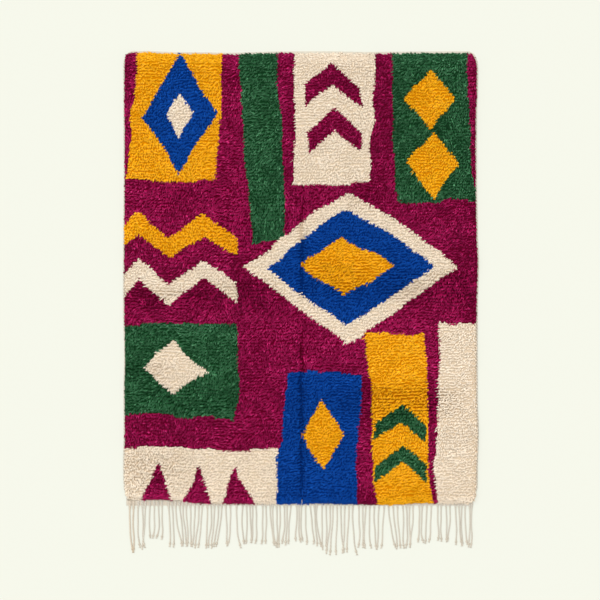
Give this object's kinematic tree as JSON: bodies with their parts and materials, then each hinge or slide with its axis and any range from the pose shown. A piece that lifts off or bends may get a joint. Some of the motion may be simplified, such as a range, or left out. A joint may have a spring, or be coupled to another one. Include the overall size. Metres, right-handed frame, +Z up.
{
  "type": "boujaad rug",
  "caption": "Deep-piled hand-knotted wool rug lying flat, with bold blocks of colour and a fringe of knotted warp ends at one end.",
  "frame": {"origin": "the middle of the pile's underside, on the floor", "axes": "+X across the rug, +Y along it to the plain end, away from the fringe, +Z up from the floor"},
  "size_m": [1.6284, 2.2766, 0.0301],
  "materials": {
    "plum_wool": "hand-spun plum wool pile, matt with a faint sheen on its locks",
    "saffron_wool": "hand-spun saffron yellow wool pile",
    "cream_wool": "hand-spun undyed cream wool pile",
    "green_wool": "hand-spun bottle green wool pile",
    "blue_wool": "hand-spun royal blue wool pile",
    "ground_weave": "undyed plain ground weave with the knots' backs in the pile's colours",
    "undyed_warp": "undyed plied warp yarn, knotted at its ends"
  },
  "bodies": {
    "root": {"pile_rug": "plum_wool", "end_fringe": "undyed_warp"}
  },
  "joints": []
}
